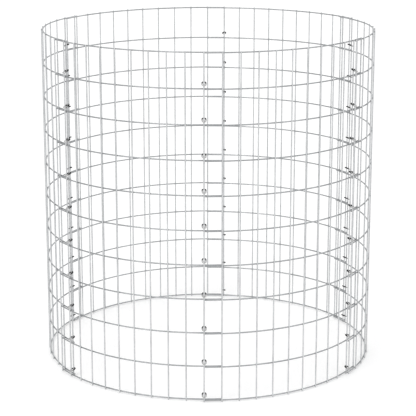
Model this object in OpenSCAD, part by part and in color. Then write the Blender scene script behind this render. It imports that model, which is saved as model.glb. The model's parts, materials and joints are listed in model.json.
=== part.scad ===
// Round leaf composter bin of welded galvanised mesh: six curved panels that
// overlap by one cell and are laced together with steel rings.
// Frame: millimetres, +Z up, the bin's axis on Z, the ground at z = 0, the front seam at -Y.

/* [Bin] */
// Diameter of the bin, measured on the upright wires
bin_diameter = 1000; // [700:50:1400]
// Number of rows of mesh cells from bottom to top
row_count = 10; // [4:1:12]
// Height of one row, from hoop to hoop
row_height = 100; // [60:5:120]
// Number of mesh cells along one panel, the overlapping one included
panel_cells = 11; // [8:1:14]

/* [Mesh wire] */
// Diameter of the mesh wire
wire_d = 4; // [3:0.5:5]
// How far an upright is pressed into a hoop by the weld
weld_depth = 0.6; // [0.3:0.1:0.8]
// Length of upright below the lowest hoop
foot_length = 5; // [4:0.5:12]
// Length of upright above the highest hoop
head_length = 3; // [2.5:0.5:10]
// Free gap between two panels where they overlap
panel_gap = 1; // [0.6:0.1:3]

/* [Seam rings] */
// Diameter of the ring wire
ring_wire_d = 3.6; // [2:0.2:4]
// Clear width inside a ring, along the wall
ring_width = 6.8; // [6:0.2:10]
// Gap between the two cut ends of a ring
ring_gap = 2.4; // [1:0.2:4]
// Tilt of a ring, its outer side down
ring_tilt = 25; // [20:1:40]
// Height of a ring's middle above the hoop under it
ring_rise = 15; // [14:1:25]
// Clearance between a ring and the wire that turns in it
ring_play = 0.4; // [0.3:0.1:1]
// How deep a ring bites the wire that carries it
ring_bite = 0.15; // [0.05:0.05:0.3]

/* [Hidden] */
$fn = 48;
// Panels in order round the bin, seen from above, anticlockwise from the front seam
PANELS = ["front_right", "right", "back_right", "back_left", "left", "front_left"];
// The seam with the same place in this list joins a panel's start to the panel before it
SEAMS = ["front", "front_right", "back_right", "back", "back_left", "front_left"];
// Where each seam stands, in degrees anticlockwise from the front seam, as in the photo
SEAM_TURNS = [0, 58, 117, 175, 245, 307];
HOOPS = ["top_hoop", "middle_hoops", "bottom_hoop"];
UPRIGHTS = ["start_upright", "middle_uprights", "end_upright"];

wire_r = wire_d / 2;
upright_r = bin_diameter / 2;
overlap_cells = 1;
front_angle = -90;

// Two wires that cross stand this far apart, hoop inside, upright outside
cross_pitch = wire_d - weld_depth;
hoop_r = upright_r - cross_pitch;
// An outer panel stands this far out from the one that it overlaps
layer = wire_d + cross_pitch + panel_gap;

upright_h = foot_length + row_count * row_height + head_length;
// A hoop is cut flush with the far side of the edge uprights
cut_turn = asin(wire_r / hoop_r);

// Distances in plan from a wire's axis to the middle of the ring wire round it
ring_hold = wire_r + ring_wire_d / 2 - ring_bite;
ring_turn = wire_r + ring_wire_d / 2 + ring_play;
ring_plan = (layer + ring_hold + ring_turn) / 2;
// From the wire that carries a ring to the ring's middle
ring_reach = (layer + ring_turn - ring_hold) / 2;
ring_bend_r = (ring_width + ring_wire_d) / 2;
// Half the length of a ring's straight arm, in whole hundredths so that arms and bends meet exactly
ring_arm = round(100 * (ring_plan / cos(ring_tilt) - ring_bend_r)) / 100;
ring_gap_turn = asin(ring_gap / 2 / ring_bend_r);

// Height of hoop number row, counted from the lowest
function hoop_z(row) = foot_length + row * row_height;

// Seams 0 to 3 are laced on the edge wire of the outer panel, seams 4 and 5 on that of the inner
function on_inner_edge(seam) = seam > 3;

// The upright of the inner panel and that of the outer panel that a seam's rings hold
function inner_place(seam) = panel_cells - (on_inner_edge(seam) ? 0 : overlap_cells);
function outer_place(seam) = on_inner_edge(seam) ? overlap_cells : 0;

// The panel, and the seam, that comes after number i or before it
function after(i) = (i + 1) % len(PANELS);
function before(i) = (i + len(PANELS) - 1) % len(PANELS);

// Turn from the seam at a panel's start to the seam at its end
function seam_to_seam(panel) = (SEAM_TURNS[after(panel)] - SEAM_TURNS[panel] + 360) % 360;

// The seams are unevenly spaced, so each panel has a cell width of its own
function cell_turn(panel) = seam_to_seam(panel) / (inner_place(after(panel)) - outer_place(panel));

// Direction of the upright at a place counted from the panel's start. Where two panels overlap,
// the cell of the one is as wide as that of the other.
function place_angle(panel, place) = let (
        early = max(outer_place(panel) - place, 0),
        late = max(place - inner_place(after(panel)), 0),
        own = place + early - outer_place(panel) - late
    )
    front_angle + SEAM_TURNS[panel] + own * cell_turn(panel)
        - early * cell_turn(before(panel)) + late * cell_turn(after(panel));
function start_angle(panel) = place_angle(panel, 0);
function panel_sweep(panel) = place_angle(panel, panel_cells) - start_angle(panel);
function middle_angle(panel) = start_angle(panel) + panel_sweep(panel) / 2;

// Each panel's arc is set off sideways, so that its start lies outside the panel before it
// and its end lies inside the panel after it
function set_off(panel) = let (edge = panel_sweep(panel) / 2)
    layer / (sin(edge) + sin(edge - overlap_cells * cell_turn(panel)));

// A point in plan, at a distance from the middle and in the direction of an angle
function around(distance, angle) = distance * [cos(angle), sin(angle)];
function arc_middle(panel) = around(set_off(panel), middle_angle(panel) - 90);
function upright_at(panel, place) = arc_middle(panel) + around(upright_r, place_angle(panel, place));

module hoops(panel, rows) {
    translate(arc_middle(panel))
        for (row = rows)
            translate([0, 0, hoop_z(row)])
                rotate([0, 0, start_angle(panel) - cut_turn])
                    rotate_extrude(angle = panel_sweep(panel) + 2 * cut_turn)
                        translate([hoop_r, 0])
                            circle(d = wire_d);
}

module uprights(panel, places) {
    translate(arc_middle(panel))
        for (place = places)
            rotate([0, 0, place_angle(panel, place)])
                translate([upright_r, 0, 0])
                    cylinder(h = upright_h, d = wire_d);
}

module top_hoop(panel) {
    color("gainsboro") hoops(panel, [row_count]);
}

module middle_hoops(panel) {
    color("darkgray") hoops(panel, [1 : row_count - 1]);
}

module bottom_hoop(panel) {
    color("gainsboro") hoops(panel, [0]);
}

module start_upright(panel) {
    color("lightsteelblue") uprights(panel, [0]);
}

module middle_uprights(panel) {
    color("silver") uprights(panel, [1 : panel_cells - 1]);
}

module end_upright(panel) {
    color("lightsteelblue") uprights(panel, [panel_cells]);
}

// One bend of a ring, round a centre at y, from one angle over a sweep
module ring_bend(y, from, sweep) {
    translate([0, y, 0])
        rotate([0, 0, from])
            rotate_extrude(angle = sweep)
                translate([ring_bend_r, 0])
                    circle(d = ring_wire_d);
}

// An oval ring closed round two wires, its cut ends at -Y
module ring() {
    ring_bend(ring_arm, 0, 180);
    for (side = [0, 1])
        mirror([side, 0, 0]) {
            translate([-ring_bend_r, -ring_arm, 0])
                rotate([-90, 0, 0])
                    cylinder(h = 2 * ring_arm, d = ring_wire_d);
            ring_bend(-ring_arm, 180, 90 - ring_gap_turn);
        }
}

// Seams 1 to 3 are laced on the outer panel's edge wire, and their rings hold the inner panel.
// Seams 4 and 5 are laced on the inner panel's edge wire, and their rings hold the outer panel.
// The front seam's rings hold the outer panel's edge wire.
module seam_rings(seam) {
    held_outside = on_inner_edge(seam) || seam == 0;
    inner = upright_at(before(seam), inner_place(seam));
    outer = upright_at(seam, outer_place(seam));
    outwards = outer - inner;
    color("dimgray")
        for (row = [0 : row_count - 1])
            translate(concat(held_outside ? outer : inner, hoop_z(row) + ring_rise))
                rotate([0, 0, atan2(outwards.y, outwards.x)])
                    translate([held_outside ? -ring_reach : ring_reach, 0, 0])
                        rotate([0, 0, -90])
                            rotate([-ring_tilt, 0, 0])
                                ring();
}

for (panel = [0 : len(PANELS) - 1]) {
    name = PANELS[panel];
    top_hoop(panel);
    middle_hoops(panel);
    bottom_hoop(panel);
    start_upright(panel);
    middle_uprights(panel);
    end_upright(panel);
}
for (seam = [0 : len(SEAMS) - 1]) {
    seam_rings(seam);
}
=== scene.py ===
"""Studio view of a round leaf composter bin made of welded, galvanised mesh.

Six curved mesh panels stand in a ring. Each overlaps the next by one cell, and steel rings lace them
together. Every wire is drawn here with its cut ends and its weld collars, in metres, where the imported
frame has it.
"""

import json
import logging
import math
from dataclasses import dataclass, field
from enum import Enum
from itertools import pairwise

import bpy
from mathutils import Matrix, Vector

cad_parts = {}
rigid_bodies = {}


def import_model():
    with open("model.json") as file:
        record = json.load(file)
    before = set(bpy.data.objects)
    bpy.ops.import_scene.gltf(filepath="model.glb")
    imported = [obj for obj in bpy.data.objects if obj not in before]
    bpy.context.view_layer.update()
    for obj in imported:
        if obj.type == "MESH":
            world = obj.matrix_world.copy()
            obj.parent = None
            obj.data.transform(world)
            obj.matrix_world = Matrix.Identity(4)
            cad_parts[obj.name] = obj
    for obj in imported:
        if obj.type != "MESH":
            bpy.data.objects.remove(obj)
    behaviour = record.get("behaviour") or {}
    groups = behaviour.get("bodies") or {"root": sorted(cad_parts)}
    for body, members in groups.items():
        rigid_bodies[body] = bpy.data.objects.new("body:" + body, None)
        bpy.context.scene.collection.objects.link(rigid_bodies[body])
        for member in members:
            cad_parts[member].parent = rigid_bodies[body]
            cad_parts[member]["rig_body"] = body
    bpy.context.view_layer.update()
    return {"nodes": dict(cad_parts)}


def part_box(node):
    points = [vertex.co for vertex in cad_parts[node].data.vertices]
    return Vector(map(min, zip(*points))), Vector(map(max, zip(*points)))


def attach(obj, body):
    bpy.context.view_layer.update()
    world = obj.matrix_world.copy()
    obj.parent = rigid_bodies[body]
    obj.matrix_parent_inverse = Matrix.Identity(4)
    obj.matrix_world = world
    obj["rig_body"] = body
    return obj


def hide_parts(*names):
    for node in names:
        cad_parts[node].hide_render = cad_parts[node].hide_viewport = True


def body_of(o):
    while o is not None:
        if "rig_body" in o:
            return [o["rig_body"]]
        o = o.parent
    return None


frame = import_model()

log = logging.getLogger("leaf_bin")

MM = 0.001
UP = Vector((0, 0, 1))
ALONG_X = Vector((1, 0, 0))
IN_PLAN = (1, 1, 0)
WHITE = (1, 1, 1, 1)
# Wires that stand further apart than this, seen from the arc's middle, are separate
WIRES_APART = math.radians(2)
# How many cells of a panel lie over the next one
OVERLAP_CELLS = 1

# Zinc: detail and edges of its dull patches, how much the single crystals count, and its fine grain
PATCH_DETAIL = 4
PATCH_EDGES = (0.35, 0.65)
CRYSTAL_SHARE = 0.4
GRAIN_SCALE = 1800
GRAIN_DETAIL = 2
GRAIN_SHARE = 0.5
# Rubbed lines: their detail, and the noise at which a line starts and is full
LINE_DETAIL = 3
LINE_EDGES = (0.5, 0.72)
# Painted highlight on the wall's outer side: the spots that make its edge ragged
SPOT_SCALE = 500
SPOT_DETAIL = 3
NOISE_MEAN = 0.5
# Depth of the relief on a wire
RELIEF_DEPTH = 0.1 * MM


class Slot(Enum):
    """The record's material slots."""

    UPRIGHT = "upright_wire"
    HOOP = "hoop_wire"
    RING = "seam_ring"


class RingGrip(Enum):
    """Which of the two wires in a seam its rings are clenched on."""

    INNER = "inner"
    OUTER = "outer"


def flat(point: Vector) -> Vector:
    """The point seen from above, with z at 0."""
    return Vector((point.x, point.y, 0))


def plan_of(node: str) -> Vector:
    """Centre of a CAD node seen from above.

    Args:
        node: name of the CAD node.

    Returns:
        The middle of its box, with z at 0.
    """
    low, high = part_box(node)
    return flat((low + high) / 2)


def turns_of(node: str, centre: Vector, spoke: Vector) -> list[float]:
    """Measures where the separate wires of a CAD node stand, seen from above.

    Args:
        node: name of the CAD node.
        centre: middle of the arc on which they stand.
        spoke: direction from which the angles are counted.

    Returns:
        The angle from the spoke to the middle of each wire, from the smallest to the largest.
    """
    solid = frame["nodes"][node]
    rim = [flat(solid.matrix_world @ vertex.co) - centre for vertex in solid.data.vertices]
    turns = sorted(spoke.angle(point) for point in rim)
    wires = [[turns[0]]]
    for before, turn in pairwise(turns):
        if turn - before > WIRES_APART:
            wires.append([])
        wires[-1].append(turn)
    return [(wire[0] + wire[-1]) / 2 for wire in wires]


def deselect_all() -> None:
    """Leaves no object selected."""
    bpy.ops.object.select_all(action="DESELECT")


def make_active(piece: bpy.types.Object) -> None:
    """Selects one object alone and makes it the active one.

    Args:
        piece: the object.
    """
    deselect_all()
    piece.select_set(True)
    bpy.context.view_layer.objects.active = piece


def smooth(piece: bpy.types.Object, sharp_from: float = 40.0) -> None:
    """Shades a piece smooth, with a crease where faces meet at more than the angle.

    Args:
        piece: the mesh to shade.
        sharp_from: the angle in degrees.
    """
    make_active(piece)
    bpy.ops.object.shade_smooth_by_angle(angle=math.radians(sharp_from))


def stack(piece: bpy.types.Object, count: int, rise: float) -> None:
    """Repeats a mesh straight up, or leaves it as it is where one is wanted.

    Args:
        piece: the mesh to repeat.
        count: how many there are in all.
        rise: distance from one to the next.
    """
    if count == 1:
        return
    make_active(piece)
    rows = piece.modifiers.new("rows", "ARRAY")
    rows.count = count
    rows.use_relative_offset = False
    rows.use_constant_offset = True
    rows.constant_offset_displace = (0, 0, rise)
    bpy.ops.object.modifier_apply(modifier=rows.name)


def spin_round(turn: float, centre: Vector, axis: Vector, steps: int, dupli: bool = False) -> None:
    """Spins what is selected in edit mode, anticlockwise seen against the axis.

    Args:
        turn: angle in all, in radians.
        centre: a point on the axis.
        axis: direction of the axis.
        steps: number of steps of the spin.
        dupli: whether the steps are separate copies.
    """
    # the operator itself turns clockwise
    bpy.ops.mesh.spin(steps=steps, angle=-turn, dupli=dupli, center=tuple(centre), axis=tuple(axis))


def fan_out(piece: bpy.types.Object, steps: list[float]) -> None:
    """Repeats a mesh round the Z axis, anticlockwise.

    Args:
        piece: the mesh to repeat.
        steps: angle from each one to the next, in radians.
    """
    make_active(piece)
    bpy.ops.object.mode_set(mode="EDIT")
    bpy.ops.mesh.select_all(action="SELECT")
    for step in steps:
        spin_round(step, Vector(), UP, 1, dupli=True)
    bpy.ops.object.mode_set(mode="OBJECT")


def own_copy(master: bpy.types.Object, name: str) -> bpy.types.Object:
    """Copies a finished piece, with a mesh of its own.

    Args:
        master: the piece that was modelled.
        name: name of the copy.

    Returns:
        The copy, where the piece is.
    """
    copy = master.copy()
    copy.data = master.data.copy()
    copy.name = name
    copy.data.name = name
    bpy.context.scene.collection.objects.link(copy)
    return copy


class WireBender:
    """Draws one round wire in edit mode, from one cut end to the other, as a bending machine would."""

    def __init__(self, name: str, wire: float, sides: int, at: Vector, heading: Vector, cut: float) -> None:
        """Starts a wire at its first cut end.

        Args:
            name: name of the piece.
            wire: diameter of the wire.
            sides: number of sides of its section.
            at: middle of the cut end.
            heading: direction in which the wire leaves it.
            cut: how far the rim of the cut is rounded.
        """
        self.radius = wire / 2
        self.cut = cut
        self.tip = at.copy()
        self.heading = heading.normalized()
        deselect_all()
        bpy.ops.mesh.primitive_circle_add(
            vertices=sides,
            radius=self.radius - cut,
            fill_type="NOTHING",
            location=at,
            rotation=self.heading.to_track_quat("Z", "Y").to_euler(),
        )
        self.piece = bpy.context.active_object
        self.piece.name = name
        bpy.ops.object.transform_apply(location=True, rotation=True, scale=True)
        bpy.ops.object.mode_set(mode="EDIT")
        bpy.ops.mesh.select_all(action="SELECT")
        self._rim(self.radius / (self.radius - cut))

    def _rim(self, widen: float) -> None:
        """Draws the rounded rim of a cut end."""
        self.straight(self.cut)
        bpy.ops.transform.resize(value=(widen,) * 3, center_override=tuple(self.tip))

    def straight(self, length: float) -> None:
        """Feeds the wire straight on.

        Args:
            length: how far.
        """
        step = self.heading * length
        bpy.ops.mesh.extrude_region_move(TRANSFORM_OT_translate={"value": tuple(step)})
        self.tip += step

    def bend(self, turn: float, centre: Vector, axis: Vector, steps: int) -> None:
        """Bends the wire round a centre.

        Args:
            turn: angle of the bend in radians.
            centre: middle of the bend.
            axis: axis of the bend.
            steps: number of straight lengths that stand for the curve.
        """
        spin_round(turn, centre, axis, steps)
        rotation = Matrix.Rotation(turn, 3, axis)
        self.tip = centre + rotation @ (self.tip - centre)
        self.heading = rotation @ self.heading

    def cut_off(self) -> bpy.types.Object:
        """Cuts the wire, closes both ends and turns its faces outwards.

        Returns:
            The finished wire.
        """
        self._rim((self.radius - self.cut) / self.radius)
        bpy.ops.mesh.select_all(action="SELECT")
        bpy.ops.mesh.fill_holes(sides=0)
        bpy.ops.mesh.select_all(action="SELECT")
        bpy.ops.mesh.normals_make_consistent(inside=False)
        bpy.ops.object.mode_set(mode="OBJECT")
        smooth(self.piece)
        return self.piece


@dataclass
class WeldCollar:
    """Metal squeezed out of a spot weld, a flat pad with a lobe in each corner of the crossing wires.

    Along the wires the pad has only the waist's share of its reach. A face is one of its flat sides when
    more than flat_share of the normal points along X. Edges stay sharp from the crease on, in degrees.
    """

    reach: float = 2.75 * MM
    waist: float = 0.84
    thickness: float = 1.9 * MM
    rounding: float = 0.5 * MM
    corners: int = 8
    flat_share: float = 0.9
    crease: float = 75.0

    def build(self, radius: float, height: float) -> bpy.types.Object:
        """Models the collar where the first upright crosses the lowest hoop.

        Args:
            radius: distance of the weld from the panel's axis.
            height: height of the hoop.

        Returns:
            The collar.
        """
        middle = Vector((radius, 0, height))
        deselect_all()
        bpy.ops.mesh.primitive_cylinder_add(
            vertices=self.corners,
            radius=self.reach,
            depth=self.thickness,
            location=middle,
            rotation=ALONG_X.to_track_quat("Z", "Y").to_euler(),
        )
        collar = bpy.context.active_object
        collar.name = "weld_collar"
        bpy.ops.object.transform_apply(location=True, rotation=True, scale=True)
        bpy.ops.object.mode_set(mode="EDIT")
        bpy.ops.mesh.select_all(action="DESELECT")
        bpy.ops.object.mode_set(mode="OBJECT")
        half_side = math.sin(math.pi / self.corners) * self.reach
        for vertex in collar.data.vertices:
            off = vertex.co - middle
            vertex.select = abs(off.y) < half_side or abs(off.z) < half_side
        bpy.ops.object.mode_set(mode="EDIT")
        bpy.ops.mesh.select_mode(type="VERT")
        bpy.ops.transform.resize(value=(1, self.waist, self.waist), center_override=tuple(middle))
        bpy.ops.mesh.select_mode(type="FACE")
        bpy.ops.mesh.select_all(action="DESELECT")
        bpy.ops.object.mode_set(mode="OBJECT")
        for face in collar.data.polygons:
            face.select = abs(face.normal.x) > self.flat_share
        bpy.ops.object.mode_set(mode="EDIT")
        bpy.ops.mesh.bevel(offset=self.rounding, segments=1, affect="EDGES")
        bpy.ops.mesh.select_all(action="SELECT")
        bpy.ops.mesh.normals_make_consistent(inside=False)
        bpy.ops.object.mode_set(mode="OBJECT")
        smooth(collar, sharp_from=self.crease)
        return collar


@dataclass
class MeshPattern:
    """The welded mesh that all six panels are cut from."""

    rows: int = 10
    cells: int = 11
    radius: float = 500 * MM
    weld_depth: float = 0.6 * MM
    panel_gap: float = 1 * MM
    cut: float = 0.35 * MM
    sides: int = 16
    step_turn: float = math.radians(1)
    foot: float = field(init=False)
    top: float = field(init=False)
    wire: float = field(init=False)
    low_hoop: float = field(init=False)
    row_height: float = field(init=False)

    def __post_init__(self) -> None:
        """Reads from the frame the heights and the wire that every panel shares."""
        sample = "front_right"
        low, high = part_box(f"{sample}_start_upright")
        self.foot, self.top = low.z, high.z
        low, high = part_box(f"{sample}_bottom_hoop")
        self.wire = high.z - low.z
        self.low_hoop = (low.z + high.z) / 2
        low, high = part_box(f"{sample}_top_hoop")
        self.row_height = ((low.z + high.z) / 2 - self.low_hoop) / self.rows

    @property
    def crossing(self) -> float:
        """Distance between the middles of two wires that cross in a weld."""
        return self.wire - self.weld_depth

    @property
    def hoop_radius(self) -> float:
        """Radius of a hoop, which stands inside the uprights and is pressed into them."""
        return self.radius - self.crossing

    @property
    def layer(self) -> float:
        """How far an outer panel stands out from the one that it overlaps."""
        return self.wire + self.crossing + self.panel_gap

    def upright(self) -> bpy.types.Object:
        """Draws one upright, at a panel's first place.

        Returns:
            The upright.
        """
        foot = Vector((self.radius, 0, self.foot))
        bender = WireBender("upright", self.wire, self.sides, foot, UP, self.cut)
        bender.straight(self.top - self.foot - 2 * self.cut)
        return bender.cut_off()

    def hoop(self, panel_sweep: float) -> bpy.types.Object:
        """Draws one hoop, at the height of the lowest.

        Args:
            panel_sweep: angle between the panel's edge uprights.

        Returns:
            The hoop, cut flush with the far sides of those uprights.
        """
        edge_turn = math.asin(self.wire / 2 / self.hoop_radius)
        rim_turn = self.cut / self.hoop_radius
        start = rim_turn - edge_turn
        sweep = panel_sweep + 2 * (edge_turn - rim_turn)
        spoke = Vector((math.cos(start), math.sin(start), 0))
        heading = UP.cross(spoke)
        level = Vector((0, 0, self.low_hoop))
        first_cut = level + spoke * self.hoop_radius - heading * self.cut
        bender = WireBender("hoop", self.wire, self.sides, first_cut, heading, self.cut)
        bender.bend(sweep, level, UP, round(sweep / self.step_turn))
        return bender.cut_off()

    def weld_collar(self) -> bpy.types.Object:
        """Makes the collar at a panel's first upright and its lowest hoop."""
        return WeldCollar().build((self.radius + self.hoop_radius) / 2, self.low_hoop)


@dataclass(frozen=True)
class PanelPlan:
    """Where one panel's arc and its uprights lie, seen from above.

    The start angle is the direction of the first upright from the centre, and the turns are the angles
    from there to each upright, the first one's own 0 included.
    """

    centre: Vector
    radius: float
    start_angle: float
    turns: tuple[float, ...]

    @classmethod
    def from_frame(cls, panel: str, pattern: MeshPattern) -> "PanelPlan":
        """Finds the arc through a panel's two edge uprights, and the places of the uprights between them.

        Args:
            panel: name of the panel.
            pattern: the mesh that it is cut from.

        Returns:
            The panel's plan.
        """
        start = plan_of(f"{panel}_start_upright")
        end = plan_of(f"{panel}_end_upright")
        chord = end - start
        half_sweep = math.asin(chord.length / 2 / pattern.radius)
        to_axis = UP.cross(chord).normalized()
        centre = (start + end) / 2 + to_axis * pattern.radius * math.cos(half_sweep)
        spoke = start - centre
        between = turns_of(f"{panel}_middle_uprights", centre, spoke)
        return cls(centre, pattern.radius, math.atan2(spoke.y, spoke.x), (0, *between, 2 * half_sweep))

    @property
    def sweep(self) -> float:
        """Angle from the panel's first upright to its last."""
        return self.turns[-1]

    def steps(self, first: int, count: int) -> list[float]:
        """Cell widths within a run of uprights.

        Args:
            first: place of the first upright.
            count: number of uprights.

        Returns:
            The angle from each upright to the next.
        """
        run = self.turns[first:first + count]
        return [turn - before for before, turn in pairwise(run)]

    def matrix(self) -> Matrix:
        """Turns and moves a mesh from the panel's own place, round the Z axis, to where it stands."""
        return Matrix.Translation(self.centre) @ Matrix.Rotation(self.start_angle, 4, UP)

    def upright_at(self, place: int) -> Vector:
        """Middle of the upright at a place counted from the panel's start, seen from above."""
        angle = self.start_angle + self.turns[place]
        return self.centre + Vector((math.cos(angle), math.sin(angle), 0)) * self.radius


@dataclass
class SeamRing:
    """One steel ring, closed with pliers round two wires, in the proportions of the photo."""

    wire: float = 3.6 * MM
    width: float = 6.8 * MM
    gap: float = 2.4 * MM
    tilt: float = math.radians(25)
    rise: float = 15 * MM
    play: float = 0.4 * MM
    bite: float = 0.15 * MM
    cut: float = 0.3 * MM
    sides: int = 16
    bend_steps: int = 18

    @property
    def bend_radius(self) -> float:
        """Radius of the ring's two bends, on the middle of its wire."""
        return (self.width + self.wire) / 2

    def hold(self, mesh_wire: float) -> float:
        """Distance from a mesh wire's middle to the ring's wire where the ring bites it."""
        return (mesh_wire + self.wire) / 2 - self.bite

    def swing(self, mesh_wire: float) -> float:
        """Distance from a mesh wire's middle to the ring's wire where the mesh wire turns in it."""
        return (mesh_wire + self.wire) / 2 + self.play

    def reach(self, mesh_wire: float, layer: float) -> float:
        """Distance from the mesh wire that carries the ring to the ring's middle."""
        return (layer + self.swing(mesh_wire) - self.hold(mesh_wire)) / 2

    def build(self, mesh_wire: float, layer: float) -> bpy.types.Object:
        """Models the ring about its own middle, tilted, with its outer side along +X and down.

        Args:
            mesh_wire: diameter of the mesh wires that it holds.
            layer: distance between the two wires.

        Returns:
            The ring.
        """
        plan = (layer + self.hold(mesh_wire) + self.swing(mesh_wire)) / 2
        arm = plan / math.cos(self.tilt) - self.bend_radius
        gap_turn = math.asin(self.gap / 2 / self.bend_radius)
        rim_turn = self.cut / self.bend_radius
        lower, upper = Vector((0, -arm, 0)), Vector((0, arm, 0))
        start = gap_turn + rim_turn
        spoke = Vector((math.sin(start), -math.cos(start), 0))
        heading = UP.cross(spoke)
        first_cut = lower + spoke * self.bend_radius - heading * self.cut
        bender = WireBender("seam_ring", self.wire, self.sides, first_cut, heading, self.cut)
        quarter = math.pi / 2 - start
        bender.bend(quarter, lower, UP, self.bend_steps // 2)
        bender.straight(2 * arm)
        bender.bend(math.pi, upper, UP, self.bend_steps)
        bender.straight(2 * arm)
        bender.bend(quarter, lower, UP, self.bend_steps // 2)
        ring = bender.cut_off()
        tilted = Matrix.Rotation(-self.tilt, 4, ALONG_X)
        ring.data.transform(Matrix.Rotation(-math.pi / 2, 4, UP) @ tilted)
        return ring


@dataclass
class Seam:
    """One row of rings that laces a panel's start to the panel before it."""

    name: str
    body: str
    inner: Vector
    outer: Vector
    grip: RingGrip

    def build(self, column: bpy.types.Object, reach: float, low_ring: float) -> bpy.types.Object:
        """Sets the seam's column of rings in place.

        Args:
            column: the column of rings about the Z axis, its lowest at height 0.
            reach: distance from the wire that carries the rings to their middle.
            low_ring: height of the lowest ring's middle.

        Returns:
            The column in its place.
        """
        across = (self.outer - self.inner).normalized()
        middle = self.inner + across * reach if self.grip is RingGrip.INNER else self.outer - across * reach
        rings = own_copy(column, f"{self.name}_lacing")
        turn = Matrix.Rotation(math.atan2(across.y, across.x), 4, UP)
        rings.data.transform(Matrix.Translation(middle + UP * low_ring) @ turn)
        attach(rings, self.body)
        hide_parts(f"{self.name}_rings")
        return rings


@dataclass(frozen=True)
class GroupSocket:
    """One input or output of a node group."""

    name: str
    kind: str
    start: object = None


class NodeGroup:
    """A shader node group that several finishes share, built once."""

    def __init__(self, name: str, inputs: list[GroupSocket], outputs: list[GroupSocket]) -> None:
        """Makes the empty group with its sockets.

        Args:
            name: name of the group.
            inputs: its inputs.
            outputs: its outputs.
        """
        self.tree = bpy.data.node_groups.new(name, "ShaderNodeTree")
        for side, sockets in (("INPUT", inputs), ("OUTPUT", outputs)):
            for socket in sockets:
                made = self.tree.interface.new_socket(socket.name, in_out=side, socket_type=socket.kind)
                if socket.start is not None:
                    made.default_value = socket.start
        self.inputs = self.tree.nodes.new("NodeGroupInput")
        self.outputs = self.tree.nodes.new("NodeGroupOutput")

    def add(self, kind: str, **settings: object) -> bpy.types.Node:
        """Adds a node with its settings."""
        return add_node(self.tree, kind, **settings)

    def join(self, source: bpy.types.NodeSocket, target: bpy.types.NodeSocket) -> None:
        """Links two sockets."""
        self.tree.links.new(source, target)


def add_node(tree: bpy.types.NodeTree, kind: str, **settings: object) -> bpy.types.Node:
    """Adds a node to a tree.

    Args:
        tree: the node tree.
        kind: the node's type.
        settings: its properties by name.

    Returns:
        The node.
    """
    node = tree.nodes.new(kind)
    for name, value in settings.items():
        setattr(node, name, value)
    return node


def zinc_bloom() -> NodeGroup:
    """Builds the group for hot-dip zinc: crystals, dull bloom that gathers in patches and fine grain.

    Returns:
        The group, which puts out a colour, a roughness and a height.
    """
    group = NodeGroup(
        "zinc_bloom",
        [
            GroupSocket("Vector", "NodeSocketVector"),
            GroupSocket("Bright", "NodeSocketColor", (0.6, 0.6, 0.6, 1)),
            GroupSocket("Dull", "NodeSocketColor", (0.4, 0.4, 0.4, 1)),
            GroupSocket("Crystals", "NodeSocketFloat", 200.0),
            GroupSocket("Patches", "NodeSocketFloat", 9.0),
            GroupSocket("Gloss", "NodeSocketFloat", 0.3),
            GroupSocket("Matt", "NodeSocketFloat", 0.55),
        ],
        [
            GroupSocket("Color", "NodeSocketColor"),
            GroupSocket("Roughness", "NodeSocketFloat"),
            GroupSocket("Height", "NodeSocketFloat"),
        ],
    )
    source, result = group.inputs.outputs, group.outputs.inputs
    crystal = group.add("ShaderNodeTexVoronoi", feature="F1")
    group.join(source["Vector"], crystal.inputs["Vector"])
    group.join(source["Crystals"], crystal.inputs["Scale"])
    facet = group.add("ShaderNodeSeparateColor")
    group.join(crystal.outputs["Color"], facet.inputs["Color"])
    patch = group.add("ShaderNodeTexNoise")
    patch.inputs["Detail"].default_value = PATCH_DETAIL
    group.join(source["Vector"], patch.inputs["Vector"])
    group.join(source["Patches"], patch.inputs["Scale"])
    spread = group.add("ShaderNodeMapRange")
    spread.inputs["From Min"].default_value, spread.inputs["From Max"].default_value = PATCH_EDGES
    group.join(patch.outputs["Fac"], spread.inputs["Value"])
    bloom = group.add("ShaderNodeMix", data_type="FLOAT")
    bloom.inputs["Factor"].default_value = CRYSTAL_SHARE
    group.join(spread.outputs["Result"], bloom.inputs["A"])
    group.join(facet.outputs["Red"], bloom.inputs["B"])
    colour = group.add("ShaderNodeMix", data_type="RGBA")
    group.join(bloom.outputs["Result"], colour.inputs["Factor"])
    group.join(source["Bright"], colour.inputs["A"])
    group.join(source["Dull"], colour.inputs["B"])
    group.join(colour.outputs["Result"], result["Color"])
    rough = group.add("ShaderNodeMix", data_type="FLOAT")
    group.join(bloom.outputs["Result"], rough.inputs["Factor"])
    group.join(source["Gloss"], rough.inputs["A"])
    group.join(source["Matt"], rough.inputs["B"])
    group.join(rough.outputs["Result"], result["Roughness"])
    grain = group.add("ShaderNodeTexNoise")
    grain.inputs["Scale"].default_value = GRAIN_SCALE
    grain.inputs["Detail"].default_value = GRAIN_DETAIL
    group.join(source["Vector"], grain.inputs["Vector"])
    height = group.add("ShaderNodeMix", data_type="FLOAT")
    height.inputs["Factor"].default_value = GRAIN_SHARE
    group.join(facet.outputs["Green"], height.inputs["A"])
    group.join(grain.outputs["Fac"], height.inputs["B"])
    group.join(height.outputs["Result"], result["Height"])
    return group


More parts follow.
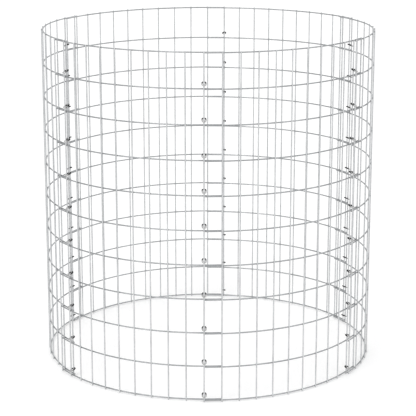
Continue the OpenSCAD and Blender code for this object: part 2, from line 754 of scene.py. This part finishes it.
def rubbed_lines() -> NodeGroup:
    """Builds the group for die and plier marks: fine lines that run along a stretched coordinate.

    Returns:
        The group, which puts out a mask and a height.
    """
    group = NodeGroup(
        "rubbed_lines",
        [
            GroupSocket("Vector", "NodeSocketVector"),
            GroupSocket("Stretch", "NodeSocketVector", (1.0, 1.0, 0.03)),
            GroupSocket("Lines", "NodeSocketFloat", 900.0),
        ],
        [GroupSocket("Mask", "NodeSocketFloat"), GroupSocket("Height", "NodeSocketFloat")],
    )
    source, result = group.inputs.outputs, group.outputs.inputs
    along = group.add("ShaderNodeVectorMath", operation="MULTIPLY")
    group.join(source["Vector"], along.inputs[0])
    group.join(source["Stretch"], along.inputs[1])
    lines = group.add("ShaderNodeTexNoise")
    lines.inputs["Detail"].default_value = LINE_DETAIL
    group.join(along.outputs["Vector"], lines.inputs["Vector"])
    group.join(source["Lines"], lines.inputs["Scale"])
    mask = group.add("ShaderNodeMapRange")
    mask.inputs["From Min"].default_value, mask.inputs["From Max"].default_value = LINE_EDGES
    group.join(lines.outputs["Fac"], mask.inputs["Value"])
    group.join(mask.outputs["Result"], result["Mask"])
    group.join(lines.outputs["Fac"], result["Height"])
    return group


def painted_outer_sheen() -> NodeGroup:
    """Builds the group for a painted highlight on the outside of the wall, which has a ragged edge.

    The mask grows with the distance from the bin's axis, from where the painted shade is full to where the
    painted highlight is full.

    Returns:
        The group, which puts out a mask.
    """
    group = NodeGroup(
        "painted_outer_sheen",
        [
            GroupSocket("Vector", "NodeSocketVector"),
            # distances from the axis where the painted shade ends and where the painted highlight is full
            GroupSocket("Shaded", "NodeSocketFloat", 0.498),
            GroupSocket("Lit", "NodeSocketFloat", 0.505),
            GroupSocket("Ragged", "NodeSocketFloat", 0.008),
        ],
        [GroupSocket("Mask", "NodeSocketFloat")],
    )
    source = group.inputs.outputs
    level = group.add("ShaderNodeVectorMath", operation="MULTIPLY")
    level.inputs[1].default_value = IN_PLAN
    group.join(source["Vector"], level.inputs[0])
    distance = group.add("ShaderNodeVectorMath", operation="LENGTH")
    group.join(level.outputs["Vector"], distance.inputs[0])
    spots = group.add("ShaderNodeTexNoise")
    spots.inputs["Scale"].default_value = SPOT_SCALE
    spots.inputs["Detail"].default_value = SPOT_DETAIL
    group.join(source["Vector"], spots.inputs["Vector"])
    centred = group.add("ShaderNodeMath", operation="SUBTRACT")
    centred.inputs[1].default_value = NOISE_MEAN
    group.join(spots.outputs["Fac"], centred.inputs[0])
    ragged = group.add("ShaderNodeMath", operation="MULTIPLY_ADD")
    group.join(centred.outputs["Value"], ragged.inputs[0])
    group.join(source["Ragged"], ragged.inputs[1])
    group.join(distance.outputs["Value"], ragged.inputs[2])
    mask = group.add("ShaderNodeMapRange", interpolation_type="SMOOTHSTEP")
    group.join(ragged.outputs["Value"], mask.inputs["Value"])
    group.join(source["Shaded"], mask.inputs["From Min"])
    group.join(source["Lit"], mask.inputs["From Max"])
    group.join(mask.outputs["Result"], group.outputs.inputs["Mask"])
    return group


@dataclass
class FinishShop:
    """The node groups that the finishes share."""

    zinc: NodeGroup = field(default_factory=zinc_bloom)
    lines: NodeGroup = field(default_factory=rubbed_lines)
    # painted highlight on the wall's outer side, painted shade on its inner side
    outer_sheen: NodeGroup = field(default_factory=painted_outer_sheen)


@dataclass(frozen=True)
class WireFinish:
    """A galvanised or plain wire: zinc or scale in patches, drawn lines along it and rubbed places, and
    where asked a painted highlight on the wall's outer side over painted shade on its inner side.
    """

    name: str
    bright: tuple[float, float, float]
    dull: tuple[float, float, float]
    # colour of the rubbed lines, and on the rings the painted highlight of their outer side
    rubbed_and_sheen: tuple[float, float, float]
    crystal: float
    patch: float
    gloss: float
    matt: float
    metallic: float
    stretch: tuple[float, float, float]
    line: float
    rub_share: float
    relief: float
    # how strongly the painted highlight on the wall's outer side shows
    sheen_share: float = 0

    def build(self, shop: FinishShop) -> bpy.types.Material:
        """Makes the material.

        Args:
            shop: the shared node groups.

        Returns:
            The material.
        """
        material = bpy.data.materials.new(self.name)
        material.use_nodes = True
        tree = material.node_tree
        shader = tree.nodes["Principled BSDF"]
        shader.inputs["Metallic"].default_value = self.metallic
        place = add_node(tree, "ShaderNodeTexCoord")
        zinc = add_node(tree, "ShaderNodeGroup", node_tree=shop.zinc.tree)
        zinc.inputs["Bright"].default_value = (*self.bright, 1)
        zinc.inputs["Dull"].default_value = (*self.dull, 1)
        zinc.inputs["Crystals"].default_value = 1 / self.crystal
        zinc.inputs["Patches"].default_value = 1 / self.patch
        zinc.inputs["Gloss"].default_value = self.gloss
        zinc.inputs["Matt"].default_value = self.matt
        lines = add_node(tree, "ShaderNodeGroup", node_tree=shop.lines.tree)
        lines.inputs["Stretch"].default_value = self.stretch
        lines.inputs["Lines"].default_value = 1 / self.line
        rub = add_node(tree, "ShaderNodeMath", operation="MULTIPLY")
        rub.inputs[1].default_value = self.rub_share
        # Painted light: lightens the wall's outer side as a painted highlight and leaves the inner side as
        # painted shade
        outer_sheen = add_node(tree, "ShaderNodeGroup", node_tree=shop.outer_sheen.tree)
        rub_and_sheen = add_node(tree, "ShaderNodeMath", operation="MULTIPLY_ADD", use_clamp=True)
        rub_and_sheen.inputs[1].default_value = self.sheen_share
        colour = add_node(tree, "ShaderNodeMix", data_type="RGBA")
        colour.inputs["B"].default_value = (*self.rubbed_and_sheen, 1)
        height = add_node(tree, "ShaderNodeMath", operation="ADD")
        bump = add_node(tree, "ShaderNodeBump")
        bump.inputs["Strength"].default_value = self.relief
        bump.inputs["Distance"].default_value = RELIEF_DEPTH
        join = tree.links.new
        join(place.outputs["Object"], zinc.inputs["Vector"])
        join(place.outputs["Object"], lines.inputs["Vector"])
        join(lines.outputs["Mask"], rub.inputs[0])
        join(place.outputs["Object"], outer_sheen.inputs["Vector"])
        join(outer_sheen.outputs["Mask"], rub_and_sheen.inputs[0])
        join(rub.outputs["Value"], rub_and_sheen.inputs[2])
        join(rub_and_sheen.outputs["Value"], colour.inputs["Factor"])
        join(zinc.outputs["Color"], colour.inputs["A"])
        join(colour.outputs["Result"], shader.inputs["Base Color"])
        join(zinc.outputs["Roughness"], shader.inputs["Roughness"])
        join(zinc.outputs["Height"], height.inputs[0])
        join(lines.outputs["Height"], height.inputs[1])
        join(height.outputs["Value"], bump.inputs["Height"])
        join(bump.outputs["Normal"], shader.inputs["Normal"])
        return material


UPRIGHT_ZINC = WireFinish(
    name="upright_zinc",
    bright=(0.66, 0.67, 0.68),
    dull=(0.48, 0.49, 0.50),
    rubbed_and_sheen=(0.70, 0.70, 0.69),
    crystal=4 * MM,
    patch=60 * MM,
    gloss=0.28,
    matt=0.5,
    metallic=0.9,
    stretch=(1, 1, 0.03),
    line=0.8 * MM,
    rub_share=0.5,
    relief=0.3,
)
# The hoops are the same galvanised wire as the uprights; their darker colour is painted shade
SHADED_HOOP_ZINC = WireFinish(
    name="shaded_hoop_zinc",
    bright=(0.39, 0.40, 0.41),
    dull=(0.26, 0.27, 0.28),
    rubbed_and_sheen=(0.55, 0.55, 0.54),
    crystal=4 * MM,
    patch=60 * MM,
    gloss=0.3,
    matt=0.52,
    metallic=0.9,
    stretch=(0.2, 0.2, 1),
    line=0.8 * MM,
    rub_share=0.4,
    relief=0.3,
)
WELD_ZINC = WireFinish(
    name="weld_zinc",
    bright=(0.36, 0.36, 0.37),
    dull=(0.22, 0.22, 0.23),
    rubbed_and_sheen=(0.46, 0.46, 0.46),
    crystal=1.2 * MM,
    patch=20 * MM,
    gloss=0.45,
    matt=0.7,
    metallic=0.85,
    stretch=(1, 1, 1),
    line=0.5 * MM,
    rub_share=0.3,
    relief=0.6,
)
# Dark steel, left near black on the inner side, where it also paints the shade; the outer side is lightened
# to grey as a painted highlight
RING_STEEL = WireFinish(
    name="ring_steel",
    bright=(0.012, 0.012, 0.013),
    dull=(0.004, 0.004, 0.004),
    rubbed_and_sheen=(0.5, 0.5, 0.5),
    crystal=0.8 * MM,
    patch=8 * MM,
    gloss=0.25,
    matt=0.45,
    metallic=0.9,
    stretch=(1, 1, 0.4),
    line=0.7 * MM,
    rub_share=0.02,
    relief=0.4,
    sheen_share=0.9,
)


@dataclass(frozen=True)
class Masters:
    """The dressed pieces that every panel takes copies of, and the hoops' material, darker than the
    uprights' zinc as painted shade.
    """

    upright: bpy.types.Object
    collar: bpy.types.Object
    shaded_hoop_zinc: bpy.types.Material


@dataclass
class MeshPanel:
    """One welded mesh panel: hoops, uprights and the weld collars where they cross."""

    name: str
    pattern: MeshPattern
    plan: PanelPlan

    @property
    def body(self) -> str:
        """The body that the panel is."""
        return f"{self.name}_panel"

    def install(self, piece: bpy.types.Object, offset: Matrix) -> None:
        """Stands a piece in the panel's place and ties it to the panel's body.

        Args:
            piece: the piece, about the Z axis.
            offset: its place within the panel.
        """
        piece.data.transform(self.plan.matrix() @ offset)
        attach(piece, self.body)

    def hoops(self, node: str, master: bpy.types.Object, first_row: int, count: int) -> None:
        """Sets hoops one above the other.

        Args:
            node: the node that they stand for.
            master: the panel's lowest hoop.
            first_row: row of the first of them.
            count: number of hoops.
        """
        wires = own_copy(master, f"{self.name}_{node}_drawn")
        stack(wires, count, self.pattern.row_height)
        self.install(wires, Matrix.Translation(UP * first_row * self.pattern.row_height))
        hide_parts(f"{self.name}_{node}")

    def uprights(self, node: str, master: bpy.types.Object, first_place: int, count: int) -> None:
        """Sets uprights side by side, each at its place.

        Args:
            node: the node that they stand for.
            master: the upright at the panel's first place.
            first_place: place of the first of them.
            count: number of uprights.
        """
        wires = own_copy(master, f"{self.name}_{node}_drawn")
        fan_out(wires, self.plan.steps(first_place, count))
        self.install(wires, Matrix.Rotation(self.plan.turns[first_place], 4, UP))
        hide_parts(f"{self.name}_{node}")

    def build(self, masters: Masters) -> None:
        """Makes all the panel's pieces.

        Args:
            masters: the pieces that the panels share.
        """
        rows, cells = self.pattern.rows, self.pattern.cells
        hoop = self.pattern.hoop(self.plan.sweep)
        hoop.data.materials.append(masters.shaded_hoop_zinc)
        self.hoops("bottom_hoop", hoop, 0, 1)
        self.hoops("middle_hoops", hoop, 1, rows - 1)
        self.hoops("top_hoop", hoop, rows, 1)
        bpy.data.objects.remove(hoop)
        self.uprights("start_upright", masters.upright, 0, 1)
        self.uprights("middle_uprights", masters.upright, 1, cells - 1)
        self.uprights("end_upright", masters.upright, cells, 1)
        collars = own_copy(masters.collar, f"{self.name}_weld_collars")
        fan_out(collars, self.plan.steps(0, cells + 1))
        stack(collars, rows + 1, self.pattern.row_height)
        self.install(collars, Matrix.Identity(4))


@dataclass(frozen=True)
class Lamp:
    """A soft studio lamp: the direction in which it stands, its width in degrees and its strength."""

    name: str
    towards: tuple[float, float, float]
    width: float
    strength: float


LAMPS = (
    Lamp("key", (-0.5, -0.62, 0.66), 40, 1.1),
    Lamp("fill", (0.75, -0.5, 0.5), 50, 0.5),
    Lamp("back", (0.1, 0.75, 0.7), 45, 0.5),
)


@dataclass
class Studio:
    """A white studio: floor, soft lamps, plain world and the camera at the photo's viewing angle."""

    lens: float = 132.7
    distance: float = 4.613
    height: float = 1.629
    tilt: float = math.radians(14.41)
    azimuth: float = math.radians(0.4)
    floor_reach: float = 40.0
    floor_sides: int = 64
    floor_grey: float = 0.85
    floor_roughness: float = 0.9
    ambient: float = 0.62
    lift: float = 0.22
    lamps: tuple[Lamp, ...] = LAMPS

    def camera(self) -> bpy.types.Object:
        """Stands the camera in front of the bin, level from side to side and tilted down.

        Returns:
            The camera.
        """
        data = bpy.data.cameras.new("camera")
        data.lens = self.lens
        camera = bpy.data.objects.new("camera", data)
        bpy.context.scene.collection.objects.link(camera)
        back = Vector((math.sin(self.azimuth), -math.cos(self.azimuth), 0))
        camera.location = back * self.distance + UP * self.height
        sight = -back * math.cos(self.tilt) - UP * math.sin(self.tilt)
        camera.rotation_euler = sight.to_track_quat("-Z", "Y").to_euler()
        bpy.context.scene.camera = camera
        return camera

    def lamp(self, lamp: Lamp) -> bpy.types.Object:
        """Sets up one soft lamp, far enough away to light the whole floor alike.

        Args:
            lamp: where it stands and how strong it is.

        Returns:
            The lamp.
        """
        data = bpy.data.lights.new(lamp.name, "SUN")
        data.angle = math.radians(lamp.width)
        data.energy = lamp.strength
        made = bpy.data.objects.new(lamp.name, data)
        bpy.context.scene.collection.objects.link(made)
        made.rotation_euler = Vector(lamp.towards).to_track_quat("Z", "Y").to_euler()
        return made

    def seen_share(self, tree: bpy.types.NodeTree) -> bpy.types.NodeSocket:
        """Adds nodes that give 1 to rays from the camera and to those that a gloss or a glass sends on.

        Args:
            tree: the node tree to add them to.

        Returns:
            The socket that gives it.
        """
        path = add_node(tree, "ShaderNodeLightPath")
        gloss = add_node(tree, "ShaderNodeMath", operation="MAXIMUM")
        glass = add_node(tree, "ShaderNodeMath", operation="MAXIMUM")
        tree.links.new(path.outputs["Is Camera Ray"], gloss.inputs[0])
        tree.links.new(path.outputs["Is Glossy Ray"], gloss.inputs[1])
        tree.links.new(gloss.outputs["Value"], glass.inputs[0])
        tree.links.new(path.outputs["Is Transmission Ray"], glass.inputs[1])
        return glass.outputs["Value"]

    def world(self) -> None:
        """Makes a world that lights at a plain level and shows white."""
        world = bpy.data.worlds.new("studio")
        bpy.context.scene.world = world
        world.use_nodes = True
        tree = world.node_tree
        light = tree.nodes["Background"]
        light.inputs["Color"].default_value = WHITE
        light.inputs["Strength"].default_value = self.ambient
        shown = add_node(tree, "ShaderNodeBackground")
        shown.inputs["Color"].default_value = WHITE
        shown.inputs["Strength"].default_value = 1
        mix = add_node(tree, "ShaderNodeMixShader")
        tree.links.new(self.seen_share(tree), mix.inputs["Fac"])
        tree.links.new(light.outputs["Background"], mix.inputs[1])
        tree.links.new(shown.outputs["Background"], mix.inputs[2])
        tree.links.new(mix.outputs["Shader"], tree.nodes["World Output"].inputs["Surface"])

    def floor(self) -> bpy.types.Object:
        """Lays a pale floor that keeps the bin's shadow and is lifted to white where the camera sees it.

        Returns:
            The floor.
        """
        deselect_all()
        bpy.ops.mesh.primitive_circle_add(
            vertices=self.floor_sides,
            radius=self.floor_reach,
            fill_type="NGON",
        )
        floor = bpy.context.active_object
        floor.name = "studio_floor"
        material = bpy.data.materials.new("floor_white")
        material.use_nodes = True
        tree = material.node_tree
        shader = tree.nodes["Principled BSDF"]
        shader.inputs["Base Color"].default_value = (self.floor_grey,) * 3 + (1,)
        shader.inputs["Roughness"].default_value = self.floor_roughness
        shader.inputs["Specular IOR Level"].default_value = 0
        glow = add_node(tree, "ShaderNodeEmission")
        power = add_node(tree, "ShaderNodeMath", operation="MULTIPLY")
        power.inputs[1].default_value = self.lift
        both = add_node(tree, "ShaderNodeAddShader")
        tree.links.new(self.seen_share(tree), power.inputs[0])
        tree.links.new(power.outputs["Value"], glow.inputs["Strength"])
        tree.links.new(shader.outputs["BSDF"], both.inputs[0])
        tree.links.new(glow.outputs["Emission"], both.inputs[1])
        tree.links.new(both.outputs["Shader"], tree.nodes["Material Output"].inputs["Surface"])
        floor.data.materials.append(material)
        return floor

    def build(self) -> None:
        """Sets up the whole studio."""
        bpy.context.scene.view_settings.view_transform = "Standard"
        self.camera()
        self.world()
        self.floor()
        for lamp in self.lamps:
            self.lamp(lamp)


@dataclass
class Bin:
    """The whole bin: six panels in a ring and the six seams that lace them."""

    pattern: MeshPattern = field(default_factory=MeshPattern)
    ring: SeamRing = field(default_factory=SeamRing)
    panels: tuple[str, ...] = ("front_right", "right", "back_right", "back_left", "left", "front_left")
    seams: tuple[str, ...] = ("front", "front_right", "back_right", "back", "back_left", "front_left")
    laced_on_inner_edge: tuple[str, ...] = ("back_left", "front_left")

    def build(self) -> None:
        """Builds and dresses every piece."""
        shop = FinishShop()
        masters = Masters(self.pattern.upright(), self.pattern.weld_collar(), SHADED_HOOP_ZINC.build(shop))
        masters.upright.data.materials.append(UPRIGHT_ZINC.build(shop))
        masters.collar.data.materials.append(WELD_ZINC.build(shop))
        plans = [PanelPlan.from_frame(name, self.pattern) for name in self.panels]
        for name, plan in zip(self.panels, plans):
            MeshPanel(name, self.pattern, plan).build(masters)
            widths = [round(math.degrees(step), 2) for step in plan.steps(0, self.pattern.cells + 1)]
            log.info("%s panel: cells of %s degrees", name, widths)
        bpy.data.objects.remove(masters.upright)
        bpy.data.objects.remove(masters.collar)
        self.lace(plans, RING_STEEL.build(shop))

    def lace(self, plans: list[PanelPlan], steel: bpy.types.Material) -> None:
        """Laces the six seams.

        Args:
            plans: the panels' plans in order.
            steel: the rings' material.
        """
        pattern, ring = self.pattern, self.ring
        column = ring.build(pattern.wire, pattern.layer)
        column.data.materials.append(steel)
        stack(column, pattern.rows, pattern.row_height)
        reach = ring.reach(pattern.wire, pattern.layer)
        for index, seam in enumerate(self.seams):
            into_overlap = OVERLAP_CELLS if seam in self.laced_on_inner_edge else 0
            carrier = self.body_of(f"{seam}_seam_rings")
            Seam(
                name=f"{seam}_seam",
                body=carrier,
                inner=plans[index - 1].upright_at(pattern.cells - OVERLAP_CELLS + into_overlap),
                outer=plans[index].upright_at(into_overlap),
                grip=RingGrip.OUTER if carrier == f"{self.panels[index]}_panel" else RingGrip.INNER,
            ).build(column, reach, pattern.low_hoop + ring.rise)
            log.info("%s seam: %d rings on %s", seam, pattern.rows, carrier)
        bpy.data.objects.remove(column)

    def body_of(self, node: str) -> str:
        """Name of the body that carries a CAD node."""
        return body_of(frame["nodes"][node])[0]


def main() -> None:
    """Builds the bin and its studio."""
    logging.basicConfig(level=logging.INFO, format="%(name)s: %(message)s")
    Bin().build()
    Studio().build()
    bpy.context.view_layer.update()


if __name__ == "__main__":
    main()
